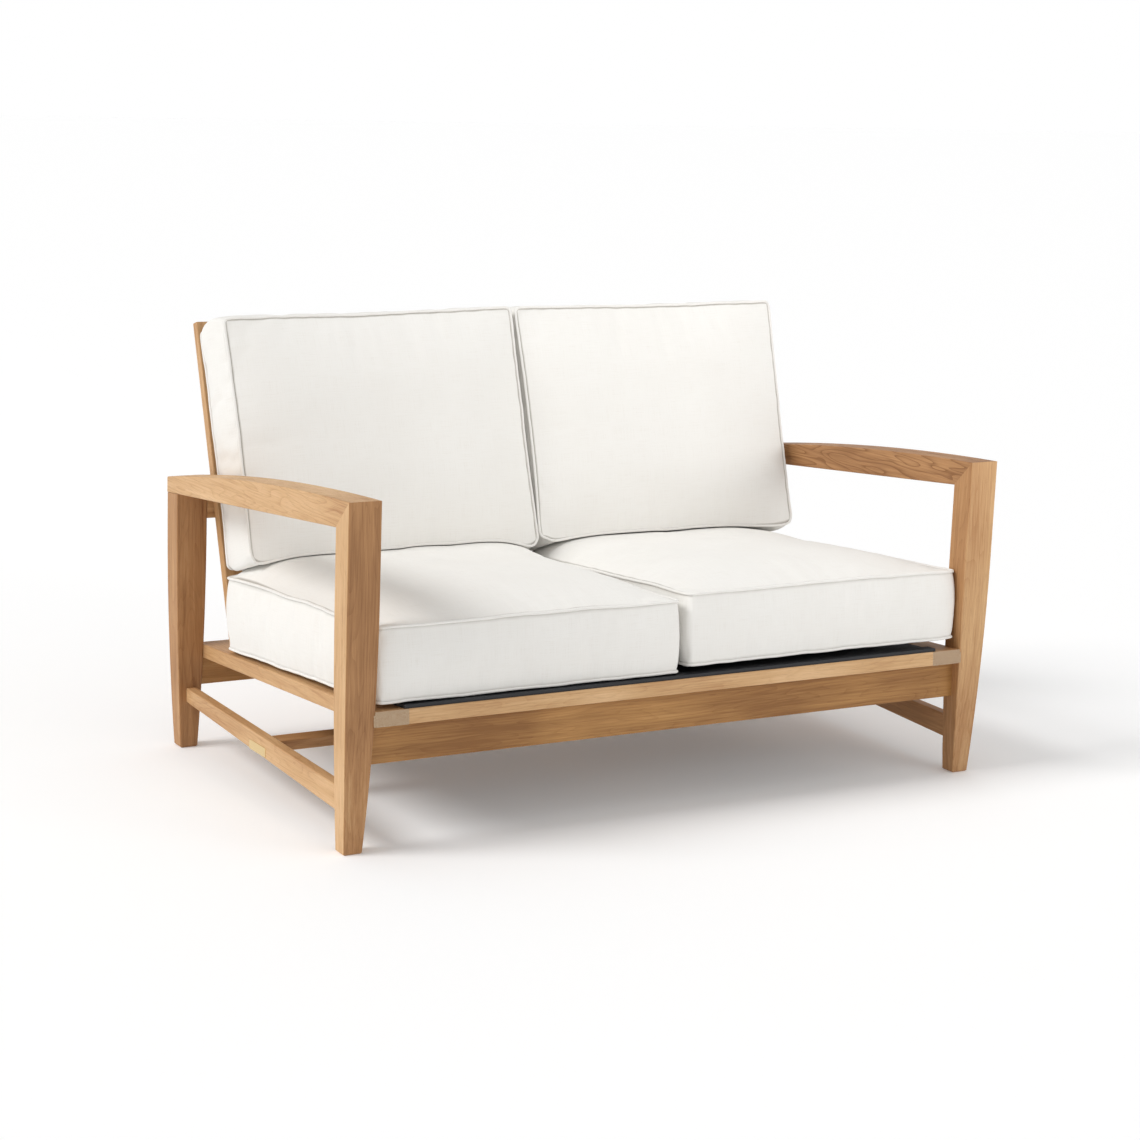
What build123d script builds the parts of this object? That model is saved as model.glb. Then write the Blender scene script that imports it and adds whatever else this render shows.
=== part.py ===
from build123d import *
from math import acos, atan, atan2, cos, degrees, hypot, radians, sin, sqrt, tan
import os

# Patio loveseat: a solid-wood frame with a sloping seat deck, a leaning slatted back,
# a mesh seat sling and four loose boxed cushions.
# Millimetres. X to the right as seen from the front, front towards -Y, +Z up.
# While drawn, y is counted back from the face of the front legs. The origin of the
# finished part is the middle of its footprint on the floor.

# Overall frame
overall_width = 1420.0
frame_depth = 841.0
arm_height = 642.0
ease = 2.5
foot_ease = 3.0

# Legs: straight and square above a bend, which lies a drop below the arm, and drawn in
# on a tangent arc below it
leg_width = 64.0
leg_depth = 53.0
taper_drop = 172.0
taper_outside = 10.4
taper_inside = 16.8
taper_end_face = 17.5

# Armrests: arched on top, straight underneath, mitred to the front legs
arm_front_drop = 53.0
arm_underside_fall = 67.0
arm_rear_thickness = 32.0
arm_arch = 13.0

# Stretchers: tapered boards at the sides and a flat one between them
side_stretcher_reveal = 22.0
side_stretcher_thickness = 22.0
side_stretcher_front_bottom = 66.0
side_stretcher_front_top = 113.5
side_stretcher_rear_bottom = 95.0
side_stretcher_rear_top = 124.0
centre_stretcher_setback = 372.0
centre_stretcher_width = 42.0
centre_stretcher_thickness = 21.0

# Seat deck: flat rails that fall to the rear
deck_slope = 3.72
deck_height = 262.5
deck_setback = 4.0
deck_rear_reveal = 25.0
rail_width = 70.0
rail_thickness = 28.0
centre_rail_width = 60.0
back_rail_margin = 3.0

# Aprons: upright boards below the deck
apron_thickness = 24.0
front_apron_setback = 26.5
front_apron_height = 73.0
rear_apron_inset = 22.0
rear_apron_height = 56.0

# Mesh sling, clamped to the deck by a batten at each end
sling_thickness = 2.5
sling_lap = 30.0
sling_side_lap = 8.0
sling_front_margin = 3.0
batten_width = 25.0
batten_thickness = 4.0

# Back frame, standing on the deck and leaning on the rear arm rail
back_foot_inset = 168.0
back_side_gap = 12.0
back_thickness = 21.0
back_height = 666.0
stile_width = 60.0
top_rail_height = 70.0
bottom_rail_height = 66.0
slat_thickness = 12.0
slat_width = 50.0
slats_per_bay = 5
slat_tenon = 10.0
slat_ease = 1.5

# Rear arm rail, between the rear legs, bevelled to seat the back frame
lean_rail_drop = 123.0
lean_rail_height = 49.0
lean_rail_thickness = 28.0
lean_rail_bevel = 5.75

# Loose tenons, each glued into a mortise in both pieces that it joins
tenon_thickness = 10.0
mortise_clearance = 0.1
arm_tenon_width = 40.0
arm_tenon_length = 40.0
apron_tenon_width = 36.0
apron_tenon_length = 48.0
side_stretcher_tenon_width = 20.0
side_stretcher_tenon_length = 44.0
centre_stretcher_tenon_width = 26.0
centre_stretcher_tenon_length = 28.0
deck_tenon_width = 40.0
deck_tenon_length = 50.0
back_tenon_width = 36.0
back_tenon_length = 44.0
lean_tenon_width = 30.0
lean_tenon_length = 48.0

# Cushions: boxed sides with a slight belly, and a crown inside the welts
seat_cushion_arm_gap = 3.0
seat_cushion_middle_gap = 10.0
seat_cushion_back_gap = 2.4
seat_cushion_front_box = 135.0
seat_cushion_rear_box = 135.0
seat_cushion_crown = 46.0
seat_cushion_base_crown = 9.0
seat_cushion_setback = 8.0
seat_cushion_batten_gap = 0.9
back_cushion_arm_gap = 4.0
back_cushion_middle_gap = 6.0
back_cushion_seat_gap = 1.0
back_cushion_top_drop = 22.0
back_cushion_box = 133.0
back_cushion_crown = 34.0
back_cushion_rear_crown = 27.0
cushion_rest_gap = 0.3
cushion_belly = 5.0
cushion_corner = 22.0

# A crown is drawn through level sections. Each stands in from the welt by a share of
# the distance to the cushion's middle and up by a share of the crown's height.
crown_inset_shares = (0.0, 0.05, 0.13, 0.26, 0.43, 0.66)
crown_height_shares = (0.0, 0.3, 0.58, 0.83, 0.96, 1.0)
crown_corner_share = 0.3

# An edge counts as upright when this share of its direction is vertical
upright_share = 0.9

half_width = overall_width / 2
leg_inner = half_width - leg_width
rear_leg_front = frame_depth - leg_depth
leg_opening = rear_leg_front - leg_depth
taper_start = arm_height - taper_drop


def taper_set_in(amount, height):
    """How far a tapered leg face has drawn in at a height."""
    radius = (taper_start**2 + amount**2) / (2 * amount)
    fall_below_bend = max(taper_start - height, 0)
    return radius - sqrt(radius**2 - fall_below_bend**2)


def between(front, rear, y):
    """A height on the straight line from the front leg's back to the rear leg's front."""
    return front + (rear - front) * (y - leg_depth) / leg_opening


def arm_underside(y):
    """Height of the straight underside of an armrest."""
    front = arm_height - arm_front_drop
    return between(front, front - arm_underside_fall, y)


def outline(*edges):
    """A face bounded by edges that meet end to end."""
    return make_face(edges)


def polygon(*points):
    return make_face(Polyline(*points, close=True))


def side_board(face, x_from, x_to):
    """A piece with its outline in the Y-Z plane, between two places along X."""
    return extrude(Plane.YZ.offset(x_from) * face, amount=x_to - x_from)


def block(place, low, high):
    """A box from its low corner to its high corner, in a plane's own directions."""
    size = [b - a for a, b in zip(low, high)]
    middle = [(a + b) / 2 for a, b in zip(low, high)]
    return place * Pos(*middle) * Box(*size)


def mirrored(piece):
    return mirror(piece, about=Plane.YZ)


def ease_long_edges(piece, shortest, radius=ease):
    """The piece with its edges over a given length rounded."""
    return fillet(piece.edges().filter_by(lambda edge: edge.length > shortest), radius)


# Legs: an end view and a side view, cut from one blank
def leg_end_view():
    foot_inner = leg_inner + taper_inside
    foot_outer = half_width - taper_outside
    return outline(
        Line((leg_inner, arm_height), (half_width, arm_height)),
        Line((half_width, arm_height), (half_width, taper_start)),
        TangentArc((half_width, taper_start), (foot_outer, 0), tangent=(0, -1)),
        Line((foot_outer, 0), (foot_inner, 0)),
        TangentArc((leg_inner, taper_start), (foot_inner, 0), tangent=(0, -1)),
        Line((leg_inner, taper_start), (leg_inner, arm_height)),
    )


def leg_side_view(end_face, opening_face, foot):
    """The end face tapers and the face towards the opening is straight."""
    return outline(
        Line((end_face, arm_underside_or_mitre(end_face)), (end_face, taper_start)),
        TangentArc((end_face, taper_start), (foot, 0), tangent=(0, -1)),
        Line((foot, 0), (opening_face, 0)),
        Line((opening_face, 0), (opening_face, arm_underside(opening_face))),
        Line((opening_face, arm_underside(opening_face)),
             (end_face, arm_underside_or_mitre(end_face))),
    )


def arm_underside_or_mitre(y):
    """Height of a leg's top: the mitre at the front, the arm's underside elsewhere."""
    return arm_height if y == 0 else arm_underside(y)


def leg_blank(end_face, opening_face, foot):
    end_view = Plane.XZ.offset(-frame_depth) * leg_end_view()
    side_view = leg_side_view(end_face, opening_face, foot)
    return extrude(end_view, amount=frame_depth) & side_board(side_view, leg_inner, half_width)


def ease_leg(blank):
    footed = chamfer(blank.faces().sort_by(Axis.Z)[0].edges(), foot_ease)
    upright = footed.edges().filter_by(lambda edge: abs((edge % 0.5).Z) > upright_share)
    return fillet(upright, ease)


front_leg_blank = leg_blank(0, leg_depth, taper_end_face)
rear_leg_blank = leg_blank(frame_depth, rear_leg_front, frame_depth - taper_end_face)
leg_blanks = [front_leg_blank, rear_leg_blank]
leg_blanks += [mirrored(blank) for blank in leg_blanks]

# Armrest: a blank longer than the arm with its long edges eased, then mitred.
# Its arched top is a parabola.
arm_rear_bottom = arm_underside(frame_depth)
arm_rear_top = arm_rear_bottom + arm_rear_thickness
arm_front_excess = leg_depth / 2


def arm_top(y):
    """Height of the arched top of an armrest."""
    share = y / frame_depth
    return arm_height + (arm_rear_top - arm_height) * share + 4 * arm_arch * share * (1 - share)


def arm_top_slope(y):
    return (arm_rear_top - arm_height + 4 * arm_arch * (1 - 2 * y / frame_depth)) / frame_depth


arm_blank_length = frame_depth + arm_front_excess
arm_blank_top = arm_top(-arm_front_excess)
arm_blank_middle = (arm_blank_length / 2 - arm_front_excess,
                    arm_blank_top + arm_top_slope(-arm_front_excess) * arm_blank_length / 2)
arm_view = outline(
    Bezier((-arm_front_excess, arm_blank_top), arm_blank_middle, (frame_depth, arm_rear_top)),
    Line((frame_depth, arm_rear_top), (frame_depth, arm_rear_bottom)),
    Line((frame_depth, arm_rear_bottom),
         (-arm_front_excess, arm_underside(-arm_front_excess))),
    Line((-arm_front_excess, arm_underside(-arm_front_excess)),
         (-arm_front_excess, arm_blank_top)),
)
mitre_rise = arm_front_excess * arm_front_drop / leg_depth
mitre_waste = polygon((-arm_front_excess, arm_height + mitre_rise),
                      (leg_depth, arm_underside(leg_depth)), (leg_depth, taper_start),
                      (-arm_front_excess, taper_start))
armrest = ease_long_edges(side_board(arm_view, leg_inner, half_width), leg_opening)
armrest -= side_board(mitre_waste, leg_inner, half_width)

# Stretchers
stretcher_outer = half_width - side_stretcher_reveal
stretcher_inner = stretcher_outer - side_stretcher_thickness


def stretcher_top(y):
    return between(side_stretcher_front_top, side_stretcher_rear_top, y)


def stretcher_bottom(y):
    return between(side_stretcher_front_bottom, side_stretcher_rear_bottom, y)


side_stretcher = ease_long_edges(side_board(
    polygon((leg_depth, side_stretcher_front_bottom), (leg_depth, side_stretcher_front_top),
            (rear_leg_front, side_stretcher_rear_top),
            (rear_leg_front, side_stretcher_rear_bottom)),
    stretcher_inner, stretcher_outer), leg_opening / 2)
centre_stretcher_top = stretcher_top(centre_stretcher_setback)
centre_stretcher = ease_long_edges(block(
    Location(),
    (-stretcher_inner, centre_stretcher_setback,
     centre_stretcher_top - centre_stretcher_thickness),
    (stretcher_inner, centre_stretcher_setback + centre_stretcher_width,
     centre_stretcher_top)), stretcher_inner)

# Seat deck. On it, u runs across, v back down the slope and w up from the rails' tops.
fall = radians(deck_slope)
deck = Location(Plane(origin=(0, deck_setback, deck_height), x_dir=(1, 0, 0),
                      z_dir=(0, sin(fall), cos(fall))))
deck_length = (frame_depth - deck_setback - deck_rear_reveal) / cos(fall)


def rail_underside(y):
    """Height of the underside of the deck's rails."""
    return deck_height - (y - deck_setback) * tan(fall) - rail_thickness / cos(fall)


# The back frame's lean runs its rear face from its foot to the rear arm rail's bevel
back_foot = frame_depth - back_foot_inset
back_foot_height = deck_height - (back_foot - deck_setback) * tan(fall)
lean_rail_top = arm_height - lean_rail_drop
reach = rear_leg_front + lean_rail_bevel - back_foot
climb = lean_rail_top - back_foot_height
lean = acos(back_thickness / hypot(reach, climb)) - atan2(climb, reach)
back_foot_v = (back_foot - deck_setback) / cos(fall)
back_foot_depth = back_thickness / cos(lean - fall)
back_rail_rear = back_foot_v + back_foot_depth + back_rail_margin
back_rail_front = back_rail_rear - rail_width
rear_rail_front = deck_length - rail_width
deck_half = leg_inner + taper_set_in(taper_inside, rail_underside(frame_depth))
deck_inner = deck_half - rail_width

seat_side_rail = ease_long_edges(
    block(deck, (deck_inner, 0, -rail_thickness), (deck_half, deck_length, 0)),
    deck_length / 2) - leg_blanks


def cross_rail(front):
    return ease_long_edges(block(deck, (-deck_inner, front, -rail_thickness),
                                 (deck_inner, front + rail_width, 0)), deck_inner)


seat_front_rail = cross_rail(0)
seat_back_rail = cross_rail(back_rail_front)
seat_rear_rail = cross_rail(rear_rail_front)
seat_centre_rail = block(deck, (-centre_rail_width / 2, rail_width, -rail_thickness),
                         (centre_rail_width / 2, back_rail_front, 0))


# Aprons, scribed to the tapered legs and bevelled to the deck
def apron(face, height):
    rear = face + apron_thickness
    bottom = rail_underside(face) - height
    board = side_board(
        polygon((face, bottom), (rear, bottom), (rear, rail_underside(rear)),
                (face, rail_underside(face))),
        -stretcher_outer, stretcher_outer)
    return ease_long_edges(board - leg_blanks, leg_inner)


rear_apron_face = frame_depth - rear_apron_inset - apron_thickness
front_apron = apron(front_apron_setback, front_apron_height)
rear_apron = apron(rear_apron_face, rear_apron_height)

# Sling and its battens
sling_half = deck_inner + sling_side_lap
sling_rear = back_rail_front + sling_lap
batten_top = sling_thickness + batten_thickness
seat_sling = block(deck, (-sling_half, sling_front_margin, 0),
                   (sling_half, sling_rear, sling_thickness))
sling_batten_front = block(deck, (-sling_half, sling_front_margin, sling_thickness),
                           (sling_half, sling_front_margin + batten_width, batten_top))
sling_batten_rear = block(deck, (-sling_half, sling_rear - batten_width, sling_thickness),
                          (sling_half, sling_rear, batten_top))

# Back frame. On it, u runs across, t up the back and n forward from the stiles' faces.
back = Location(Plane(origin=(0, back_foot, back_foot_height), x_dir=(1, 0, 0),
                      z_dir=(0, -cos(lean), sin(lean))))
stile_outer = leg_inner - back_side_gap
stile_inner = stile_outer - stile_width
centre_stile_half = stile_width / 2
opening_top = back_height - top_rail_height
foot_rise = back_thickness * tan(lean - fall)
slat_recess = (back_thickness - slat_thickness) / 2


def back_point(t, n):
    """The Y and Z of a point on the back frame."""
    return (back_foot + t * sin(lean) - n * cos(lean),
            back_foot_height + t * cos(lean) + n * sin(lean))


def standing_piece(x_from, x_to, top):
    """A piece of the back frame that stands on the deck, its foot cut to the slope."""
    return side_board(
        polygon(back_point(0, 0), back_point(top, 0), back_point(top, -back_thickness),
                back_point(foot_rise, -back_thickness)),
        x_from, x_to)


def slat(x_from, clearance=0):
    """A slat with its ends housed in both rails; the clearance turns it into its mortise."""
    return block(
        back,
        (x_from - clearance, bottom_rail_height - slat_tenon - clearance,
         -slat_recess - slat_thickness - clearance),
        (x_from + slat_width + clearance, opening_top + slat_tenon + clearance,
         clearance - slat_recess))


bay_width = stile_inner - centre_stile_half
slat_gap = (bay_width - slats_per_bay * slat_width) / (slats_per_bay + 1)
slat_pitch = slat_width + slat_gap
right_slats = [centre_stile_half + slat_gap + index * slat_pitch
               for index in range(slats_per_bay)]
slat_starts = sorted([-start - slat_width for start in right_slats] + right_slats)
slat_mortises = [slat(start, mortise_clearance) for start in slat_starts]
slats = {f"back_slat_{number:02d}": ease_long_edges(slat(start), stile_width, slat_ease)
         for number, start in enumerate(slat_starts, start=1)}

back_stile = ease_long_edges(standing_piece(stile_inner, stile_outer, back_height),
                             back_height / 2)
back_bottom_rail = standing_piece(-stile_inner, stile_inner, bottom_rail_height)
back_bottom_rail -= slat_mortises
back_top_rail = ease_long_edges(
    block(back, (-stile_inner, opening_top, -back_thickness), (stile_inner, back_height, 0)),
    stile_inner) - slat_mortises
back_centre_stile = block(back, (-centre_stile_half, bottom_rail_height, -back_thickness),
                          (centre_stile_half, opening_top, 0))

# Rear arm rail, its front edge bevelled to the stiles' lean
bevel_bottom = lean_rail_top - lean_rail_bevel / tan(lean)
lean_rail_bottom = lean_rail_top - lean_rail_height
lean_rail_rear = rear_leg_front + lean_rail_thickness
rear_arm_rail = side_board(
    polygon((rear_leg_front, lean_rail_bottom), (rear_leg_front, bevel_bottom),
            (rear_leg_front + lean_rail_bevel, lean_rail_top),
            (lean_rail_rear, lean_rail_top), (lean_rail_rear, lean_rail_bottom)),
    -leg_inner, leg_inner)


# Loose tenons. A joint's place has its X along the tenon and its Z through the
# tenon's thickness, and its origin where the two pieces meet.
def joint(origin, along, through):
    return Location(Plane(origin=origin, x_dir=along, z_dir=through))


def tenons(places, length, width, clearance=0):
    """The tenons at the places on the right-hand side and their mirror images."""
    grown = (length + 2 * clearance, width + 2 * clearance, tenon_thickness + 2 * clearance)
    right = [place * Box(*grown) for place in places]
    return right + [mirrored(piece) for piece in right]


leg_middle = half_width - leg_width / 2
rear_seat = frame_depth - leg_depth / 2
arm_fall = atan(arm_underside_fall / leg_opening)
arm_joints = [
    joint((leg_middle, leg_depth / 2, arm_height - arm_front_drop / 2),
          (0, arm_front_drop, leg_depth), (0, -leg_depth, arm_front_drop)),
    joint((leg_middle, rear_seat, arm_underside(rear_seat)),
          (0, sin(arm_fall), cos(arm_fall)), (0, -cos(arm_fall), sin(arm_fall))),
]


def apron_joint(face, height):
    y = face + apron_thickness / 2
    z = rail_underside(y) - height / 2
    return joint((leg_inner + taper_set_in(taper_inside, z), y, z), (1, 0, 0), (0, 1, 0))


apron_joints = [apron_joint(front_apron_setback, front_apron_height),
                apron_joint(rear_apron_face, rear_apron_height)]
stretcher_middle = stretcher_outer - side_stretcher_thickness / 2
side_stretcher_joints = [
    joint((stretcher_middle, y, (stretcher_bottom(y) + stretcher_top(y)) / 2),
          (0, 1, 0), (1, 0, 0))
    for y in (leg_depth, rear_leg_front)
]
centre_stretcher_joints = [
    joint((stretcher_inner, centre_stretcher_setback + centre_stretcher_width / 2,
           centre_stretcher_top - centre_stretcher_thickness / 2), (1, 0, 0), (0, 0, 1))
]
deck_joints = [deck * Pos(deck_inner, front + rail_width / 2, -rail_thickness / 2)
               for front in (0, back_rail_front, rear_rail_front)]
centre_rail_joints = [deck * Pos(0, v, -rail_thickness / 2) * Rot(0, 0, 90)
                      for v in (rail_width, back_rail_front)]
back_joints = [back * Pos(stile_inner, t, -back_thickness / 2)
               for t in (bottom_rail_height / 2, back_height - top_rail_height / 2)]
centre_stile_joints = [back * Pos(0, t, -back_thickness / 2) * Rot(0, 0, 90)
                       for t in (bottom_rail_height, opening_top)]
lean_rail_joints = [
    joint((leg_inner, rear_leg_front + lean_rail_thickness / 2,
           (lean_rail_bottom + lean_rail_top) / 2), (1, 0, 0), (0, 1, 0))
]

tenon_sets = {
    "arm": [(arm_joints, arm_tenon_length, arm_tenon_width)],
    "apron": [(apron_joints, apron_tenon_length, apron_tenon_width)],
    "stretcher": [
        (side_stretcher_joints, side_stretcher_tenon_length, side_stretcher_tenon_width),
        (centre_stretcher_joints, centre_stretcher_tenon_length,
         centre_stretcher_tenon_width),
    ],
    "deck": [(deck_joints, deck_tenon_length, deck_tenon_width)],
    "back": [(back_joints, back_tenon_length, back_tenon_width)],
    "lean_rail": [(lean_rail_joints, lean_tenon_length, lean_tenon_width)],
}
centre_tenon_sets = {
    "deck": (centre_rail_joints, deck_tenon_length, deck_tenon_width),
    "back": (centre_stile_joints, back_tenon_length, back_tenon_width),
}


def tenon_group(name, clearance=0):
    """Every tenon of a set, or with a clearance the mortises that take them."""
    group = [piece for places, length, width in tenon_sets[name]
             for piece in tenons(places, length, width, clearance)]
    if name in centre_tenon_sets:
        places, length, width = centre_tenon_sets[name]
        group += tenons(places, length, width, clearance)[:len(places)]
    return group


mortises = {name: tenon_group(name, mortise_clearance) for name in tenon_sets}


# Cushions
def box_level(depth, front_box, rear_box, share=1):
    """From a cushion's base to a level of its boxing, whose top may fall to the rear."""
    tilt = degrees(atan(share * (front_box - rear_box) / depth))
    return Pos(0, 0, share * (front_box + rear_box) / 2) * Rot(-tilt, 0, 0)


def crown_levels(width, depth, crown):
    """How far in from its widest and how far up each level of a crown lies."""
    half_span = min(width, depth) / 2 - cushion_belly
    return [(cushion_belly + inset_share * half_span, height_share * crown)
            for inset_share, height_share in zip(crown_inset_shares, crown_height_shares)]


def crown_height(width, depth, crown, inset):
    """How far up a crown is at a distance in from its widest."""
    levels = crown_levels(width, depth, crown)
    for (outer, low), (inner, high) in zip(levels, levels[1:]):
        if inset <= inner:
            return low + (high - low) * (inset - outer) / (inner - outer)
    return crown


def cushion(width, depth, front_box, rear_box, crown, base_crown):
    """A boxed cushion, with its base seam centred on the origin and its depth along Y."""
    half_up = box_level(depth, front_box, rear_box, 1 / 2)
    top = box_level(depth, front_box, rear_box)

    def section(level, inset):
        corner = cushion_corner + crown_corner_share * inset
        return level * RectangleRounded(width - 2 * inset, depth - 2 * inset, corner)

    form = loft([section(Location(), cushion_belly), section(half_up, 0),
                 section(top, cushion_belly)])
    form += loft([section(top * Pos(0, 0, rise), inset)
                  for inset, rise in crown_levels(width, depth, crown)])
    form += loft([section(Pos(0, 0, -drop), inset)
                  for inset, drop in crown_levels(width, depth, base_crown)])
    return form


# Seat cushions, on the sling's rear batten between the arms and the back frame
seat_cushion_width = leg_inner - seat_cushion_arm_gap - seat_cushion_middle_gap / 2
seat_cushion_depth = back_foot_v - seat_cushion_back_gap - seat_cushion_setback
batten_inset = seat_cushion_setback + seat_cushion_depth - sling_rear + batten_width
batten_drop = crown_height(seat_cushion_width, seat_cushion_depth,
                           seat_cushion_base_crown, batten_inset)
seat_place = deck * Pos(leg_inner - seat_cushion_arm_gap - seat_cushion_width / 2,
                        seat_cushion_setback + seat_cushion_depth / 2,
                        batten_top + batten_drop + seat_cushion_batten_gap)
seat_cushion = seat_place * cushion(seat_cushion_width, seat_cushion_depth,
                                    seat_cushion_front_box, seat_cushion_rear_box,
                                    seat_cushion_crown, seat_cushion_base_crown)

# Back cushions, on the seat cushions' crowns and against the slats
seat_top = seat_place * box_level(seat_cushion_depth, seat_cushion_front_box,
                                  seat_cushion_rear_box)
seat_crown = [
    back.inverse() * seat_top * Pos(0, seat_cushion_depth / 2 - inset, rise)
    for inset, rise in crown_levels(seat_cushion_width, seat_cushion_depth,
                                    seat_cushion_crown)
]
back_cushion_rise = max(level.position.Y for level in seat_crown) + back_cushion_seat_gap
back_cushion_width = leg_inner - back_cushion_arm_gap - back_cushion_middle_gap / 2
back_cushion_height = back_height - back_cushion_top_drop - back_cushion_rise
back_place = back * Pos(leg_inner - back_cushion_arm_gap - back_cushion_width / 2,
                        back_cushion_rise + back_cushion_height / 2,
                        back_cushion_rear_crown + cushion_rest_gap - slat_recess)
back_cushion = back_place * cushion(back_cushion_width, back_cushion_height,
                                    back_cushion_box, back_cushion_box,
                                    back_cushion_crown, back_cushion_rear_crown)


# Assembly
def pair(name, piece):
    """A right-hand piece and its mirror image."""
    return {f"{name}_right": piece, f"{name}_left": mirrored(piece)}


nodes = {
    **pair("front_leg", ease_leg(front_leg_blank) - mortises["arm"] - mortises["apron"]
           - mortises["stretcher"]),
    **pair("rear_leg", ease_leg(rear_leg_blank) - mortises["arm"] - mortises["apron"]
           - mortises["stretcher"] - mortises["lean_rail"]),
    **pair("armrest", armrest - mortises["arm"]),
    **pair("side_stretcher", side_stretcher - mortises["stretcher"]),
    "centre_stretcher": centre_stretcher - mortises["stretcher"],
    "front_apron": front_apron - mortises["apron"],
    "rear_apron": rear_apron - mortises["apron"],
    **pair("seat_side_rail", seat_side_rail - mortises["deck"]),
    "seat_front_rail": seat_front_rail - mortises["deck"],
    "seat_back_rail": seat_back_rail - mortises["deck"],
    "seat_rear_rail": seat_rear_rail - mortises["deck"],
    "seat_centre_rail": seat_centre_rail - mortises["deck"],
    "seat_sling": seat_sling,
    "sling_batten_front": sling_batten_front,
    "sling_batten_rear": sling_batten_rear,
    **pair("back_stile", back_stile - mortises["back"]),
    "back_centre_stile": back_centre_stile - mortises["back"],
    "back_bottom_rail": back_bottom_rail - mortises["back"],
    "back_top_rail": back_top_rail - mortises["back"],
    **slats,
    "rear_arm_rail": rear_arm_rail - mortises["lean_rail"],
    **{f"{name}_tenons": Compound(children=tenon_group(name)) for name in tenon_sets},
    **pair("seat_cushion", seat_cushion),
    **pair("back_cushion", back_cushion),
}

boxes = [piece.bounding_box() for piece in nodes.values()]
front = min(box.min.Y for box in boxes)
rear = max(box.max.Y for box in boxes)
to_footprint_middle = Pos(0, -(front + rear) / 2, 0)
os.makedirs("parts", exist_ok=True)
for name, piece in nodes.items():
    export_step(to_footprint_middle * piece, f"parts/{name}.step")
print(f"{len(nodes)} pieces, drawn from y {front:.2f} to {rear:.2f}, "
      f"{max(box.max.Z for box in boxes):.1f} high, back leaning {degrees(lean):.2f} degrees, "
      f"seat cushion {seat_cushion_width:.1f} x {seat_cushion_depth:.1f}, "
      f"back cushion {back_cushion_rise:.1f} up the back")
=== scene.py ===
"""Looks of a two-seat teak loveseat: oiled teak, mesh sling, boxed canvas cushions with welts."""

import math

import bpy
import numpy as np
from mathutils import Matrix, Vector, noise
from mathutils.bvhtree import BVHTree


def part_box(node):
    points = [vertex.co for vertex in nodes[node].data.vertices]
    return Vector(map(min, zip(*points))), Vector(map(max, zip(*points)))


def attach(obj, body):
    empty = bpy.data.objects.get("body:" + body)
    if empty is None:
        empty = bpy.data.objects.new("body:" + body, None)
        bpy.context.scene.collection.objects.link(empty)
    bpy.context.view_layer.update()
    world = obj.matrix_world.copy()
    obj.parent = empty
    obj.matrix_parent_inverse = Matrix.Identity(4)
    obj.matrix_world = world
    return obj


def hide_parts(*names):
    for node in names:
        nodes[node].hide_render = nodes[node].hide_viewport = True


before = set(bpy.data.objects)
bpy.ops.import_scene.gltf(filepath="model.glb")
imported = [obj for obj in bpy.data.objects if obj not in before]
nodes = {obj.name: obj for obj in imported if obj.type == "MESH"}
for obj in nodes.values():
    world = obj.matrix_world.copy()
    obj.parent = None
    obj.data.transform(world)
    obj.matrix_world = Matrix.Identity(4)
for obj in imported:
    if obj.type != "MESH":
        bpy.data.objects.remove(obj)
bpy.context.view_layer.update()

MM = 0.001

# Planes that the cushions are made on: the falling seat deck and the leaning back, each with
# its lowest front point in metres and its turn about X in degrees
DECK_FRONT = (0, -0.44649, 0.2625)
DECK_TURN = -3.72
BACK_FOOT = (0, 0.22251, 0.219)
BACK_TURN = 71.798
DECK_PLACE = Matrix.Translation(DECK_FRONT) @ Matrix.Rotation(math.radians(DECK_TURN), 4, "X")
BACK_PLACE = Matrix.Translation(BACK_FOOT) @ Matrix.Rotation(math.radians(BACK_TURN), 4, "X")

# Colours, linear
TEAK_PALE = (0.72, 0.47, 0.255, 1)
TEAK_LIGHT = (0.60, 0.365, 0.175, 1)
TEAK_MID = (0.43, 0.218, 0.088, 1)
TEAK_DARK = (0.235, 0.100, 0.033, 1)
TEAK_END = (0.40, 0.31, 0.21, 1)
TEAK_END_PALE = (0.55, 0.46, 0.35, 1)
CANVAS = (0.84, 0.825, 0.79, 1)
CANVAS_SHADE = (0.79, 0.765, 0.72, 1)
# Painted shade beside the seams
PAINTED_SEAM_SHADE = (0.30, 0.27, 0.23, 1)
# The sling's near-black is partly the yarn's own colour and partly painted shade under the cushions
MESH_DARK = (0.007, 0.008, 0.012, 1)
MESH_YARN = (0.003, 0.0035, 0.005, 1)
BATTEN_DARK = (0.010, 0.011, 0.014, 1)
BATTEN_GREY = (0.016, 0.016, 0.019, 1)
BRASS = (0.80, 0.62, 0.33, 1)
BRASS_DULL = (0.62, 0.45, 0.2, 1)
NO_TINT = (1, 1, 1, 1)

# Figure of the teak. Lengths are metres, and depths are shares of the way from pale to dark
HEART_STEPS = (7.3, 3.1)
WANDER_STEP = (4.7, 2.9, 1.3)
RINGS_PER_METRE = 165.0
RING_WANDER = 0.055
RING_RIPPLE = 0.006
LATE_WOOD_POWER = 3.0
LOOPS_PER_HILL = 13.0
LOOP_POWER = 5.0
RING_DEPTH = 0.11
FIBRE_DEPTH = 0.42
STREAK_DEPTH = 0.62
PATCH_DEPTH = 0.85
PLAIN_SWIRL = 0.1
MEAN_TONE = 0.30
PORE_SHADE = 0.35
END_GREY = 0.75

# Threads of the cloths, millimetres from one to the next but one
CANVAS_PITCH = 1.5
MESH_PITCH = 3.2


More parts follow.
